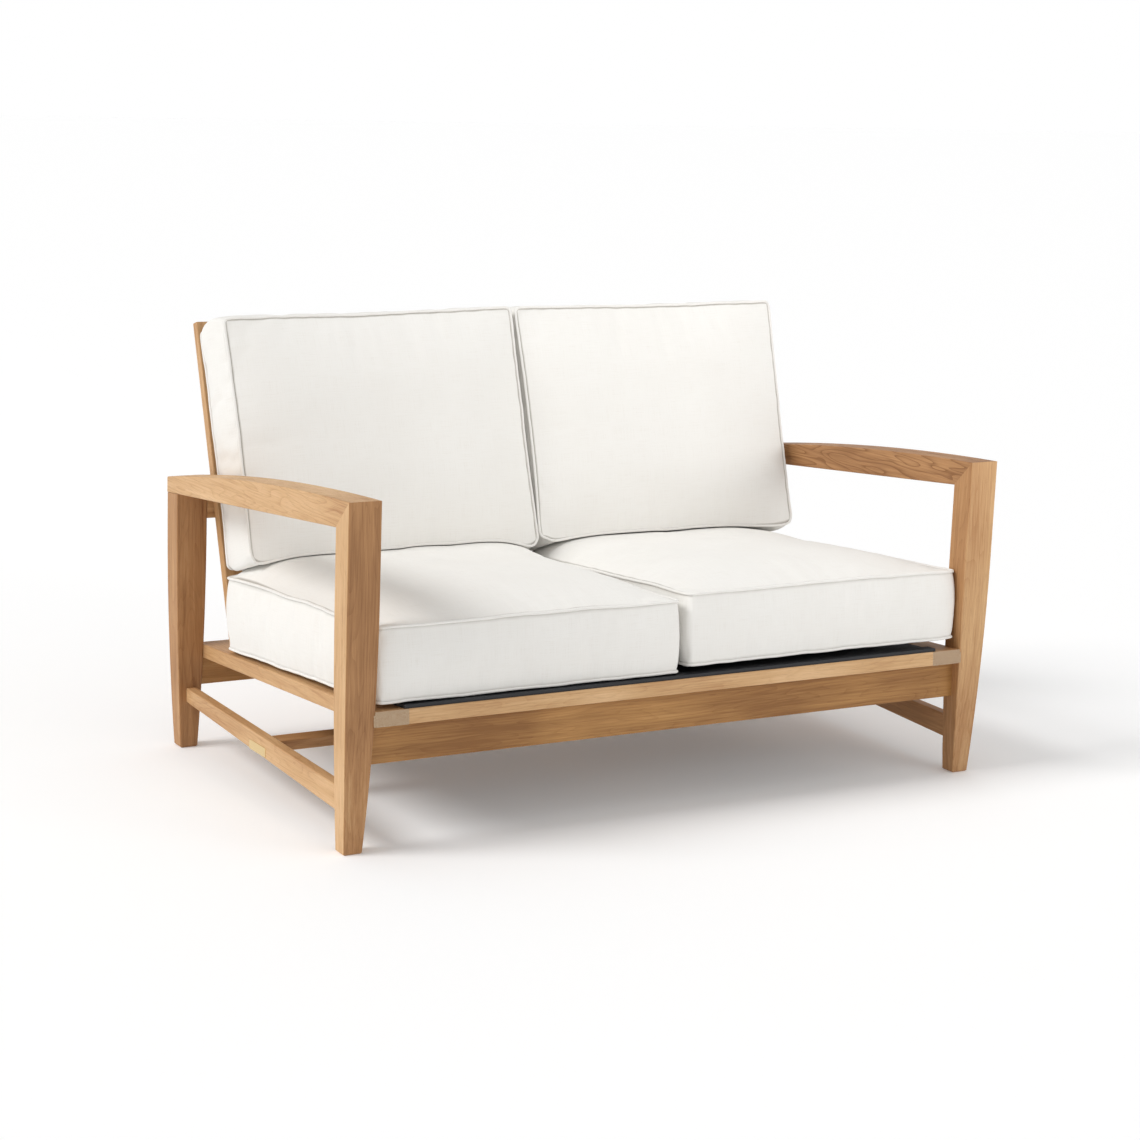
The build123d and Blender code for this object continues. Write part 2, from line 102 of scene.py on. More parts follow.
class Nodes:
    """A material's node tree, written as short calls."""

    def __init__(self, name):
        self.material = bpy.data.materials.new(name)
        self.material.use_nodes = True
        self.tree = self.material.node_tree
        self.shader = self.tree.nodes["Principled BSDF"]

    def add(self, kind, inputs=None, **settings):
        node = self.tree.nodes.new(kind)
        for key, value in settings.items():
            setattr(node, key, value)
        for key, value in (inputs or {}).items():
            self.put(node.inputs[key], value)
        return node

    def put(self, socket, value):
        if isinstance(value, bpy.types.NodeSocket):
            self.tree.links.new(value, socket)
        else:
            socket.default_value = value

    def math(self, operation, first, second=0.0, clamp=False):
        node = self.add("ShaderNodeMath", {0: first, 1: second}, operation=operation)
        node.use_clamp = clamp
        return node.outputs[0]

    def vector(self, operation, first, second=(0, 0, 0)):
        node = self.add("ShaderNodeVectorMath", {0: first, 1: second}, operation=operation)
        return node.outputs[0]

    def ramp(self, value, *stops):
        node = self.add("ShaderNodeValToRGB", {0: value})
        elements = node.color_ramp.elements
        while len(elements) < len(stops):
            elements.new(0.5)
        for element, (position, colour) in zip(elements, stops):
            element.position = position
            element.color = colour
        return node.outputs[0]

    def squeezed(self, place, share):
        """The place with its Z squeezed, so that a figure drawn on it is long in Z."""
        return self.vector("MULTIPLY", place, (1, 1, share))

    def scaled(self, value, size, base):
        return self.math("ADD", self.math("MULTIPLY", value, size), base)

    def surface(self, inputs):
        """Sets the shader's inputs and gives the material."""
        for name, value in inputs.items():
            self.put(self.shader.inputs[name], value)
        return self.material

    def centred(self, value, size):
        """A value from 0 to 1 turned into one about 0, of the given size."""
        return self.math("MULTIPLY", self.math("SUBTRACT", value, 0.5), size)

    def total(self, first, *others):
        for other in others:
            first = self.math("ADD", first, other)
        return first

    def level(self, value, low, high):
        """The value stretched so that low becomes 0 and high becomes 1."""
        node = self.add("ShaderNodeMapRange", {0: value, 1: low, 2: high})
        return node.outputs[0]

    def mix(self, share, first, second, blend="MIX"):
        node = self.add("ShaderNodeMix", data_type="RGBA", blend_type=blend)
        self.put(node.inputs[0], share)
        self.put(node.inputs[6], first)
        self.put(node.inputs[7], second)
        return node.outputs[2]

    def noise(self, place, scale, detail, rough=0.5, distortion=0.0):
        node = self.add("ShaderNodeTexNoise", {"Vector": place, "Scale": scale, "Detail": detail,
                                               "Roughness": rough, "Distortion": distortion})
        return node.outputs[0]

    def bump(self, height, distance, strength, normal=None):
        inputs = {"Height": height, "Distance": distance, "Strength": strength}
        if normal is not None:
            inputs["Normal"] = normal
        return self.add("ShaderNodeBump", inputs).outputs[0]


def turn_to_grain(grain):
    """The turn that brings a direction of grain onto Z."""
    return Vector(grain).rotation_difference(Vector((0, 0, 1))).to_euler()


def teak(name, grain, heart, tone=0.0, front=0.0, swirl=PLAIN_SWIRL, tint=NO_TINT):
    """Teak with its grain along a direction. heart is where the rings' middle lies, and front is a
    painted shade added to the tone on the faces that look to the front, a painted light where it is below
    0."""
    n = Nodes(name)
    place = n.add("ShaderNodeTexCoord")
    turned = n.add("ShaderNodeMapping", {"Vector": place.outputs["Object"],
                                         "Rotation": turn_to_grain(grain)}).outputs[0]
    start = HEART_STEPS[0] * heart[0] + HEART_STEPS[1] * heart[1]
    offset = n.vector("ADD", turned, (heart[0], heart[1], start))

    # Rings wander slowly along the piece
    slow = n.squeezed(offset, 0.16)
    wander_x = n.noise(slow, scale=9.0, detail=2.0)
    wander_y = n.noise(n.vector("ADD", slow, WANDER_STEP), scale=9.0, detail=2.0)
    wander = n.add("ShaderNodeCombineXYZ", {"X": wander_x, "Y": wander_y}).outputs[0]
    wander = n.vector("MULTIPLY", wander, (RING_WANDER, RING_WANDER, 0))
    flat = n.vector("MULTIPLY", n.vector("ADD", offset, wander), (1, 1, 0))
    radius = n.add("ShaderNodeVectorMath", {0: flat}, operation="LENGTH").outputs["Value"]
    ripple = n.math("MULTIPLY", n.noise(slow, scale=38.0, detail=2.0), RING_RIPPLE)
    ring = n.math("FRACT", n.math("MULTIPLY", n.math("ADD", radius, ripple), RINGS_PER_METRE))
    late = n.math("POWER", ring, LATE_WOOD_POWER)

    # Fibres and pores run along the grain
    fibre = n.noise(n.squeezed(turned, 0.022), scale=520.0, detail=4.0, rough=0.62)
    pores = n.noise(n.squeezed(turned, 0.035), scale=1150.0, detail=2.0, rough=0.5)
    pores = n.level(pores, 0.60, 0.70)
    streak = n.noise(n.squeezed(turned, 0.05), scale=62.0, detail=3.0, rough=0.6)
    patch = n.noise(offset, scale=3.2, detail=2.0)

    # Flat-sawn faces show loops where the rings graze them
    hills = n.noise(n.squeezed(offset, 0.13), scale=26.0, detail=1.5, rough=0.4, distortion=0.3)
    loops = n.math("FRACT", n.math("MULTIPLY", hills, LOOPS_PER_HILL))
    loops = n.math("POWER", loops, LOOP_POWER)

    # Painted shade on the faces that look to the front, painted light where front is below 0
    sides = n.add("ShaderNodeSeparateXYZ", {0: place.outputs["Normal"]})
    forward = n.math("MULTIPLY", n.level(sides.outputs[1], -0.35, -0.85), front)
    value = n.total(n.math("MULTIPLY", late, RING_DEPTH), n.math("MULTIPLY", loops, swirl),
                    n.centred(fibre, FIBRE_DEPTH), n.centred(streak, STREAK_DEPTH),
                    n.centred(patch, PATCH_DEPTH), forward)
    value = n.math("ADD", value, MEAN_TONE + tone, clamp=True)
    colour = n.ramp(value, (0.0, TEAK_PALE), (0.30, TEAK_LIGHT), (0.62, TEAK_MID), (1.0, TEAK_DARK))
    colour = n.mix(n.math("MULTIPLY", pores, PORE_SHADE), colour, TEAK_DARK)
    colour = n.mix(1.0, colour, tint, "MULTIPLY")

    # End grain is greyer, with dots in place of streaks
    facing = n.add("ShaderNodeVectorMath", {0: place.outputs["Normal"], 1: Vector(grain).normalized()},
                   operation="DOT_PRODUCT").outputs["Value"]
    end = n.level(n.math("ABSOLUTE", facing), 0.80, 0.93)
    dots = n.noise(turned, scale=900.0, detail=3.0, rough=0.7)
    end_colour = n.ramp(dots, (0.34, TEAK_DARK), (0.50, TEAK_END), (0.68, TEAK_END_PALE))
    colour = n.mix(end, colour, n.mix(END_GREY, colour, end_colour))

    relief = n.math("SUBTRACT", n.math("MULTIPLY", fibre, 0.5), n.math("MULTIPLY", pores, 0.8))
    return n.surface({"Base Color": colour,
                      "Roughness": n.scaled(fibre, 0.22, 0.42),
                      "Normal": n.bump(relief, distance=0.00025, strength=0.55),
                      "Specular IOR Level": 0.38})


def weave_height(n, across, along, pitch):
    """Threads that go over and under each other."""
    warp = n.math("SINE", n.math("MULTIPLY", across, 2 * math.pi / pitch))
    weft = n.math("SINE", n.math("MULTIPLY", along, 2 * math.pi / pitch))
    return n.math("MULTIPLY", warp, weft)


def canvas(name):
    """Warm white woven canvas, with painted shade beside the seams."""
    n = Nodes(name)
    cloth = n.add("ShaderNodeUVMap", uv_map="cloth").outputs[0]
    split = n.add("ShaderNodeSeparateXYZ", {0: cloth})
    across, along = split.outputs[0], split.outputs[1]
    weave = weave_height(n, across, along, CANVAS_PITCH * MM)
    slubs = [n.noise(n.vector("MULTIPLY", cloth, stretch), scale=1.0, detail=2.0)
             for stretch in ((900, 22, 1), (22, 900, 1))]
    slub = n.math("ADD", *slubs)
    place = n.add("ShaderNodeTexCoord").outputs["Object"]
    soft = n.level(n.noise(place, scale=7.0, detail=3.0), 0.35, 0.75)
    colour = n.mix(n.math("MULTIPLY", soft, 0.3), CANVAS, CANVAS_SHADE)
    colour = n.mix(n.level(slub, 1.02, 1.35), colour, CANVAS_SHADE)
    # Painted shade in the creases beside the seams, by the seam attribute
    seam = n.add("ShaderNodeAttribute", attribute_name="seam").outputs["Fac"]
    colour = n.mix(n.math("MULTIPLY", seam, 0.8), colour, PAINTED_SEAM_SHADE)
    threads = n.math("ADD", n.math("MULTIPLY", weave, 0.5), slub)
    fine = n.bump(threads, distance=0.00018, strength=0.5)
    creases = n.noise(place, scale=28.0, detail=2.0)
    return n.surface({"Base Color": colour,
                      "Roughness": n.scaled(slub, 0.05, 0.82),
                      "Normal": n.bump(creases, distance=0.0012, strength=0.35, normal=fine),
                      "Sheen Weight": 0.12,
                      "Sheen Roughness": 0.5,
                      "Specular IOR Level": 0.25})


def mesh_cloth(name):
    """Dark coated yarn in an open basket weave, near-black partly as the yarn's own colour and partly as
    painted shade under the cushions.
    """
    n = Nodes(name)
    place = n.add("ShaderNodeTexCoord").outputs["Object"]
    split = n.add("ShaderNodeSeparateXYZ", {0: place})
    weave = weave_height(n, split.outputs[0], split.outputs[1], MESH_PITCH * MM)
    colour = n.ramp(n.level(weave, -1.0, 1.0), (0.0, MESH_YARN), (1.0, MESH_DARK))
    return n.surface({"Base Color": colour,
                      "Roughness": n.scaled(weave, 0.08, 0.55),
                      "Normal": n.bump(weave, distance=0.0006, strength=0.8)})


def moulded(name):
    """Matt extruded plastic."""
    n = Nodes(name)
    place = n.add("ShaderNodeTexCoord").outputs["Object"]
    mottle = n.noise(place, scale=160.0, detail=3.0)
    colour = n.mix(n.math("MULTIPLY", mottle, 0.3), BATTEN_DARK, BATTEN_GREY)
    return n.surface({"Base Color": colour,
                      "Roughness": n.scaled(mottle, 0.2, 0.45),
                      "Normal": n.bump(mottle, distance=0.0002, strength=0.4)})


def brushed_brass(name):
    """Bare brushed brass."""
    n = Nodes(name)
    place = n.add("ShaderNodeTexCoord").outputs["Object"]
    brush = n.noise(n.vector("MULTIPLY", place, (1, 0.02, 1)), scale=2400.0, detail=2.0)
    colour = n.mix(n.math("MULTIPLY", brush, 0.4), BRASS, BRASS_DULL)
    return n.surface({"Base Color": colour,
                      "Metallic": 0.85,
                      "Roughness": n.scaled(brush, 0.2, 0.3),
                      "Normal": n.bump(brush, distance=0.0001, strength=0.4)})


# Teak: each piece's direction of grain, middle of the rings in metres, and tone. The darker tones of the
# right front leg and the right armrest are partly their wood's own and partly painted shade on their
# inner faces.
UP = (0, 0, 1)
FORE = (0, 1, 0)
SIDEWAYS = (1, 0, 0)
LEAN = (0, 0.3123, 0.95)
wood = {
    "front_leg_left": (UP, (0.04, 0.9), -0.04),
    "front_leg_right": (UP, (-0.31, 0.74), 0.3),
    "rear_leg_left": (UP, (0.33, 0.41), 0.22),
    "rear_leg_right": (UP, (-0.52, 0.35), 0.05),
    "armrest_left": (FORE, (0.67, 0.45), -0.02),
    "armrest_right": (FORE, (-0.69, 0.52), 0.42),
    "side_stretcher_left": (FORE, (0.6, 0.22), 0.0),
    "side_stretcher_right": (FORE, (-0.8, 0.2), 0.4),
    "centre_stretcher": (SIDEWAYS, (0.1, 0.31), 0.2),
    "front_apron": (SIDEWAYS, (0.5, 0.5), 0.5),
    "rear_apron": (SIDEWAYS, (0.2, 0.6), 0.3),
    "seat_side_rail_left": (FORE, (0.4, 0.33), 0.02),
    "seat_side_rail_right": (FORE, (-0.4, 0.35), 0.08),
    "seat_front_rail": (SIDEWAYS, (0.34, 0.42), -0.02),
    "seat_back_rail": (SIDEWAYS, (0.24, 0.12), 0.02),
    "seat_rear_rail": (SIDEWAYS, (0.54, 0.22), 0.0),
    "seat_centre_rail": (FORE, (0.04, 0.41), 0.03),
    "back_stile_left": (LEAN, (0.63, 0.2), 0.06),
    "back_stile_right": (LEAN, (-0.6, 0.24), 0.0),
    "back_centre_stile": (LEAN, (0.08, 0.2), 0.04),
    "back_bottom_rail": (SIDEWAYS, (0.3, 0.1), 0.02),
    "back_top_rail": (SIDEWAYS, (0.72, 0.52), 0.0),
    "rear_arm_rail": (SIDEWAYS, (0.16, 0.44), 0.03),
}
SLATS = 10
SLAT_HEART_STEP = 0.13
SLAT_HEART = 0.31
SLAT_HEART_SHIFT = 0.07
SLAT_TONE = -0.02
SLAT_TONE_STEP = 0.02
for number in range(1, SLATS + 1):
    heart = (SLAT_HEART_STEP * number, SLAT_HEART + SLAT_HEART_SHIFT * (number % 3))
    wood[f"back_slat_{number:02d}"] = (LEAN, heart, SLAT_TONE_STEP * (number % 4) + SLAT_TONE)
TENON_HEART = (0.2, 0.2)
TENON_TONE = 0.08
for tenons, grain in (("arm_tenons", UP), ("apron_tenons", SIDEWAYS), ("stretcher_tenons", FORE),
                      ("deck_tenons", SIDEWAYS), ("back_tenons", SIDEWAYS),
                      ("lean_rail_tenons", SIDEWAYS)):
    wood[tenons] = (grain, TENON_HEART, TENON_TONE)


def give(node, material):
    nodes[node].data.materials.clear()
    nodes[node].data.materials.append(material)


# What some pieces have besides: painted shade on their front faces (painted light where below 0),
# stronger loops, a tint
painted_front_shade = {"front_leg_left": 0.42, "front_leg_right": -0.14, "rear_leg_left": 0.1}
swirls = {"armrest_right": 0.42, "armrest_left": 0.2, "side_stretcher_left": 0.16}
tints = {"front_apron": (1.04, 1.05, 0.82, 1), "rear_apron": (1.02, 1.03, 0.88, 1)}
for node, (grain, heart, tone) in wood.items():
    give(node, teak("teak_" + node, grain, heart, tone, painted_front_shade.get(node, 0.0),
                    swirls.get(node, PLAIN_SWIRL), tints.get(node, NO_TINT)))
give("seat_sling", mesh_cloth("sling_mesh"))
for node in ("sling_batten_front", "sling_batten_rear"):
    give(node, moulded("batten"))
canvas_material = canvas("canvas")


# Cushions, in millimetres unless said otherwise

# Rows of points: places near a side's ends, the usual spacing, and shares of the boxing's height
EDGE_STEPS = (0, 4.4, 6.4, 14, 24, 35)
CELL = 12.0
BOX_STEPS = (0, 0.031, 0.047, 0.13, 0.25, 0.37, 0.5, 0.63, 0.75, 0.87, 0.953, 0.969, 1)

# How far a panel's sides are drawn in between its corners, how far the boxing bulges, and how
# near to a side a place is by it
PULL = 4.0
BELLY = 5.0
EDGE_BAND = 40.0

# Where a crown passes from the fullness of its low Y part to that of its high Y part, as shares
CROWN_TURN = 0.33
CROWN_TURN_LENGTH = 0.3

# Painted shade beside a seam, by rows from it on a panel, and its share on the boxing
SEAM_FALL = (1.0, 0.9, 0.0)
BOXING_SEAM = 0.35

# Waves of the sewing: turns per millimetre, sizes, and how much finer the ripple is. The seed
# gives the same waves at each run.
NOISE_SEED = 1
WAVE_TURNS = 0.011
WAVE_SIZE = (1.5, 1.5, 2.3)
RIPPLE_SIZE = (0.5, 0.5, 0.9)
RIPPLE_FINENESS = 2.7
SEED_STEP = (3.7, 1.9, 0)

WELT_RADIUS = 2.9
WELT_STANDS_OUT = 1.0
WELT_LEAN = 0.5
WELT_SIDES = 8
ROUND_WELT = [(WELT_RADIUS * math.cos(2 * math.pi * k / WELT_SIDES),
               WELT_RADIUS * math.sin(2 * math.pi * k / WELT_SIDES)) for k in range(WELT_SIDES)]
ZIP_INSET = 70.0
ZIP_STANDS_OUT = 0.3
ZIP_FLAP = [(-1.0, -11), (0.7, -11), (1.3, -10), (1.3, 8.5), (1.1, 10.2), (-1.0, 10.6)]

# The fill's push: frames, pressure, the most that a point moves, and the share kept of the rise
FILL_FRAMES = 20
FILL_PRESSURE = 4.0
FILL_CAP = 14.0
FILL_KEPT = 0.45

# What the seat cushions keep clear of: heights over the rails, places down the slope, half
# widths from the middle of the loveseat, and the clearances of the cover and of its seams
SLING_TOP = 2.5
BATTEN_TOP = 6.5
REAR_BATTEN = 630.0
BATTEN_SLOPE = 22.0
LEG_INNER = 645.0
LEG_REACH = 110.0
FREE_WIDTH = 655.0
MIDDLE_GAP = 1.8
COVER_CLEARANCE = 0.8
SEAM_CLEARANCE = 3.8

# The slats' faces, and how a back cushion settles: points below a height that are within reach
# of the seat cushion are drawn down to rest over it
SLAT_FRONT = -3.6
LOOK_DOWN_FROM = 120.0
SAG_REACH = 42.0
SAG_HEIGHT = 70.0
SAG_POWER = 2.2
SEAM_REST = 5.6
COVER_REST = 4.8


def side_steps(length):
    """Places along a side, closer together near its ends, as shares of its length."""
    inner = length - 2 * EDGE_STEPS[-1]
    count = max(round(inner / CELL), 1)
    middle = [EDGE_STEPS[-1] + inner * k / count for k in range(1, count)]
    far = [length - step for step in reversed(EDGE_STEPS)]
    return np.array(list(EDGE_STEPS) + middle + far) / length


def rounded_side(half_x, half_y, corner, shares):
    """Points from the middle of one corner's arc to the next, along the low Y side."""
    arc = corner * math.pi / 4
    straight = 2 * (half_x - corner)
    points = []
    for share in shares:
        run = share * (2 * arc + straight)
        if run < arc:
            angle = math.pi * 5 / 4 + run / corner
            points.append((-half_x + corner + corner * math.cos(angle),
                           -half_y + corner + corner * math.sin(angle)))
        elif run > arc + straight:
            angle = math.pi * 3 / 2 + (run - arc - straight) / corner
            points.append((half_x - corner + corner * math.cos(angle),
                           -half_y + corner + corner * math.sin(angle)))
        else:
            points.append((-half_x + corner + run - arc, -half_y))
    return np.array(points)


def crown_rise(x, y, half_x, half_y, fullness):
    """How full a crown is at a place, from 0 at the welt to 1. fullness is that of the left and
    right sides, each at its low Y and high Y part, then of the low Y and high Y ends."""
    left_low, left_high, right_low, right_high, low, high = fullness
    far = np.clip((y / half_y - CROWN_TURN) / CROWN_TURN_LENGTH, 0, 1)
    left = left_low + (left_high - left_low) * far
    right = right_low + (right_high - right_low) * far
    rise = 1.0
    for place, half, power in ((x, half_x, np.where(x > 0, right, left)),
                               (y, half_y, np.where(y > 0, high, low))):
        out = np.clip(np.abs(place) / half, 0, 1)
        rise = rise * (1 - out ** power)
    return rise


class Cushion:
    """A boxed cushion's cover, laid out as two panels and the boxing between them."""

    def __init__(self, node, place, middle, size, box, crown, base_crown, corner, fullness,
                 moved, end_belly=0.0, zip_end=1):
        self.node = node
        self.place = place @ Matrix.Translation(Vector(middle) * MM)
        self.turn = np.array(self.place.to_3x3())
        self.origin = np.array(self.place.translation)
        self.width, self.depth = size
        self.box, self.crown, self.base_crown = box, crown, base_crown
        self.corner, self.fullness, self.moved = corner, fullness, moved
        self.end_belly, self.zip_end = end_belly, zip_end
        self.half_x = self.width / 2 - BELLY
        self.half_y = self.depth / 2 - BELLY
        self.shares_x = side_steps(self.width)
        self.shares_y = side_steps(self.depth)
        self.columns, self.rows = len(self.shares_x), len(self.shares_y)
        self.panel_count = self.columns * self.rows
        self.lay_out()
        self.paint_seam_shade()
        self.make_faces()

    def panel(self):
        """The panel's grid, with the sides pulled in between the corners."""
        low = rounded_side(self.half_x, self.half_y, self.corner, self.shares_x)
        high = low * (1, -1)
        turned = rounded_side(self.half_y, self.half_x, self.corner, self.shares_y)
        left = turned[:, ::-1]
        right = left * (-1, 1)
        s = self.shares_x[:, None, None]
        t = self.shares_y[None, :, None]
        blend = (low[:, None] * (1 - t) + high[:, None] * t + left[None] * (1 - s) + right[None] * s)
        corners = (low[0] * (1 - s) * (1 - t) + low[-1] * s * (1 - t)
                   + high[0] * (1 - s) * t + high[-1] * s * t)
        grid = blend - corners
        pull_x = PULL * (1 - (grid[..., 1:] / self.half_y) ** 2).clip(0, 1)
        pull_y = PULL * (1 - (grid[..., :1] / self.half_x) ** 2).clip(0, 1)
        shrink = np.concatenate([1 - pull_x / self.half_x, 1 - pull_y / self.half_y], axis=-1)
        return grid * shrink

    def outward(self, flat):
        """Directions out of the panel, square to its sides, for places near them."""
        low = np.array((EDGE_BAND - self.half_x, EDGE_BAND - self.half_y))
        away = flat - np.clip(flat, low, -low)
        return away / np.linalg.norm(away, axis=1, keepdims=True)

    def lay_out(self):
        """Points in the cushion's own millimetres: the base panel, the top one, the boxing."""
        flat = self.panel().reshape(-1, 2)
        rise = crown_rise(flat[:, 0], flat[:, 1], self.half_x, self.half_y, self.fullness)
        base = np.column_stack([flat, -self.base_crown * rise])
        top = np.column_stack([flat, self.box + self.crown * rise])
        last_column, last_row = self.columns - 1, self.rows - 1
        ring = ([(i, 0) for i in range(last_column)]
                + [(last_column, j) for j in range(last_row)]
                + [(i, last_row) for i in range(last_column, 0, -1)]
                + [(0, j) for j in range(last_row, 0, -1)])
        self.base_ring = [i * self.rows + j for i, j in ring]
        self.top_ring = [self.panel_count + k for k in self.base_ring]
        points = [base, top]
        self.levels = [self.base_ring]
        start = 2 * self.panel_count
        for share in BOX_STEPS[1:-1]:
            level = base[self.base_ring] * (1, 1, 0) + (0, 0, self.box * share)
            bulge = BELLY + self.end_belly * (level[:, 1:2] > self.half_y - EDGE_BAND)
            level[:, :2] += self.outward(level[:, :2]) * bulge * 4 * share * (1 - share)
            points.append(level)
            self.levels.append(list(range(start, start + len(ring))))
            start += len(ring)
        self.levels.append(self.top_ring)
        self.points = np.concatenate(points)
        zip_row = last_row if self.zip_end > 0 else 0
        self.zip_side = [k for k, (i, j) in zip(self.levels[len(BOX_STEPS) // 2], ring)
                         if j == zip_row and abs(self.points[k][0]) < self.half_x - ZIP_INSET]

    def paint_seam_shade(self):
        """Each point's share of the painted shade beside the seams."""
        self.seam = np.zeros(len(self.points))
        for i in range(self.columns):
            for j in range(self.rows):
                steps_in = min(i, j, self.columns - 1 - i, self.rows - 1 - j)
                if steps_in < len(SEAM_FALL):
                    k = i * self.rows + j
                    self.seam[[k, self.panel_count + k]] = SEAM_FALL[steps_in]
        for steps_in in range(1, len(SEAM_FALL)):
            self.seam[self.levels[steps_in]] = BOXING_SEAM * SEAM_FALL[steps_in]
            self.seam[self.levels[-1 - steps_in]] = BOXING_SEAM * SEAM_FALL[steps_in]

    def make_faces(self):
        """Faces and their cloth coordinates in metres. The two panels' cloth lies side by side."""
        self.faces = []
        self.cloth = []
        for side in (0, 1):
            for i in range(self.columns - 1):
                for j in range(self.rows - 1):
                    loop = [(i, j), (i + 1, j), (i + 1, j + 1), (i, j + 1)]
                    loop = loop if side else loop[::-1]
                    self.faces.append([side * self.panel_count + a * self.rows + b for a, b in loop])
                    self.cloth.append([(self.shares_x[a] * self.width * MM + side,
                                        self.shares_y[b] * self.depth * MM) for a, b in loop])
        steps = np.diff(self.points[self.base_ring + self.base_ring[:1]], axis=0)
        along = np.concatenate([[0], np.cumsum(np.linalg.norm(steps, axis=1))]) * MM
        heights = [share * self.box * MM for share in BOX_STEPS]
        count = len(self.base_ring)
        for lower, upper, low, high in zip(self.levels, self.levels[1:], heights, heights[1:]):
            for m in range(count):
                following = (m + 1) % count
                self.faces.append([lower[m], lower[following], upper[following], upper[m]])
                self.cloth.append([(along[m], low), (along[m + 1], low),
                                   (along[m + 1], high), (along[m], high)])

    def move_corners(self, points):
        """The points shifted as the eight corners are, by shares of the way between them."""
        shares = np.stack([points[:, 0] / self.half_x / 2 + 0.5, points[:, 1] / self.half_y / 2 + 0.5,
                           points[:, 2] / self.box], axis=1).clip(0, 1)
        shift = np.zeros_like(points)
        for corner, offset in self.moved.items():
            weight = np.ones(len(points))
            for axis, end in enumerate(corner):
                weight = weight * (shares[:, axis] if end else 1 - shares[:, axis])
            shift += weight[:, None] * np.array(offset)
        return points + shift

    def world(self, points):
        return points * MM @ self.turn.T + self.origin

    def local(self, points):
        return (points - self.origin) @ self.turn / MM

    def make_mesh(self, points):
        mesh = bpy.data.meshes.new(self.node + "_cover")
        mesh.from_pydata([tuple(p) for p in self.world(points)], [], self.faces)
        layer = mesh.uv_layers.new(name="cloth")
        layer.data.foreach_set("uv", np.array(self.cloth).ravel())
        seam = mesh.attributes.new("seam", "FLOAT", "POINT")
        seam.data.foreach_set("value", self.seam)
        mesh.materials.append(canvas_material)
        return mesh


def hand_sewn(points, seed):
    """Small slow waves in the seams and panels."""
    waved = points.copy()
    start = Vector([seed * step for step in SEED_STEP])
    for k, point in enumerate(points):
        place = Vector(point) * WAVE_TURNS + start
        wave = np.array(noise.noise_vector(place))
        ripple = np.array(noise.noise_vector(place * RIPPLE_FINENESS))
        waved[k] += wave * WAVE_SIZE + ripple * RIPPLE_SIZE
    return waved


def coordinates(mesh):
    points = np.zeros(len(mesh.vertices) * 3)
    mesh.vertices.foreach_get("co", points)
    return points.reshape(-1, 3)


def inflate(cover, held):
    """The cover's points after cloth under pressure has pushed them out, with some held."""
    scene = bpy.context.scene
    before = coordinates(cover.data)
    group = cover.vertex_groups.new(name="held")
    group.add(held, 1.0, "REPLACE")
    modifier = cover.modifiers.new("cloth", "CLOTH")
    settings = modifier.settings
    settings.quality = 6
    settings.mass = 0.3
    settings.tension_stiffness = 15
    settings.compression_stiffness = 15
    settings.shear_stiffness = 5
    settings.bending_stiffness = 0.6
    settings.use_pressure = True
    settings.uniform_pressure_force = FILL_PRESSURE
    settings.shrink_min = -0.012
    settings.vertex_group_mass = "held"
    settings.effector_weights.gravity = 0
    modifier.point_cache.frame_start = 1
    modifier.point_cache.frame_end = FILL_FRAMES
    for step in range(1, FILL_FRAMES + 1):
        scene.frame_set(step)
    depsgraph = bpy.context.evaluated_depsgraph_get()
    after = coordinates(cover.evaluated_get(depsgraph).data)
    scene.frame_set(1)
    cover.modifiers.clear()
    cover.vertex_groups.clear()
    moved = after - before
    length = np.linalg.norm(moved, axis=1, keepdims=True)
    moved *= np.minimum(1, FILL_CAP * MM / np.maximum(length, 1e-9))
    return before + moved


def smooth_by_subdivision(thing):
    modifier = thing.modifiers.new("smooth", "SUBSURF")
    modifier.levels = 1
    modifier.render_levels = 1
    depsgraph = bpy.context.evaluated_depsgraph_get()
    finished = bpy.data.meshes.new_from_object(thing.evaluated_get(depsgraph))
    thing.modifiers.clear()
    thing.data = finished
    finished.shade_smooth()


def tube(name, centre_line, section, outward, closed=True):
    """A tube of a given section along a line. The section's first axis points outward."""
    centre = np.array(centre_line)
    ahead = np.gradient(centre, axis=0)
    if closed:
        ahead = np.roll(centre, -1, axis=0) - np.roll(centre, 1, axis=0)
    ahead /= np.linalg.norm(ahead, axis=1, keepdims=True)
    first = np.array(outward) - ahead * np.sum(outward * ahead, axis=1, keepdims=True)
    first /= np.linalg.norm(first, axis=1, keepdims=True)
    second = np.cross(ahead, first)
    vertices = np.stack([centre + (a * first + b * second) * MM for a, b in section], axis=1)
    vertices = vertices.reshape(-1, 3)
    following = np.roll(centre, -1, axis=0)
    along = np.concatenate([[0], np.cumsum(np.linalg.norm(following - centre, axis=1))])
    turned = np.array(section + section[:1]) * MM
    around = np.concatenate([[0], np.cumsum(np.linalg.norm(np.diff(turned, axis=0), axis=1))])
    count, sides = len(centre), len(section)
    faces = []
    cloth = []
    for m in range(count if closed else count - 1):
        after = (m + 1) % count
        for k in range(sides):
            other = (k + 1) % sides
            faces.append([m * sides + k, m * sides + other, after * sides + other, after * sides + k])
            cloth.append([(along[m], around[k]), (along[m], around[k + 1]),
                          (along[m + 1], around[k + 1]), (along[m + 1], around[k])])
    if not closed:
        last = (count - 1) * sides
        for face in (list(range(sides))[::-1], [last + k for k in range(sides)]):
            faces.append(face)
            cloth.append([(0, 0)] * sides)
    mesh = bpy.data.meshes.new(name)
    mesh.from_pydata([tuple(v) for v in vertices], [], faces)
    layer = mesh.uv_layers.new(name="cloth")
    layer.data.foreach_set("uv", np.array([spot for loop in cloth for spot in loop]).ravel())
    mesh.shade_smooth()
    return mesh


def add_trim(design, mesh):
    mesh.materials.append(canvas_material)
    trim = bpy.data.objects.new(mesh.name, mesh)
    bpy.context.collection.objects.link(trim)
    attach(trim, design.node)


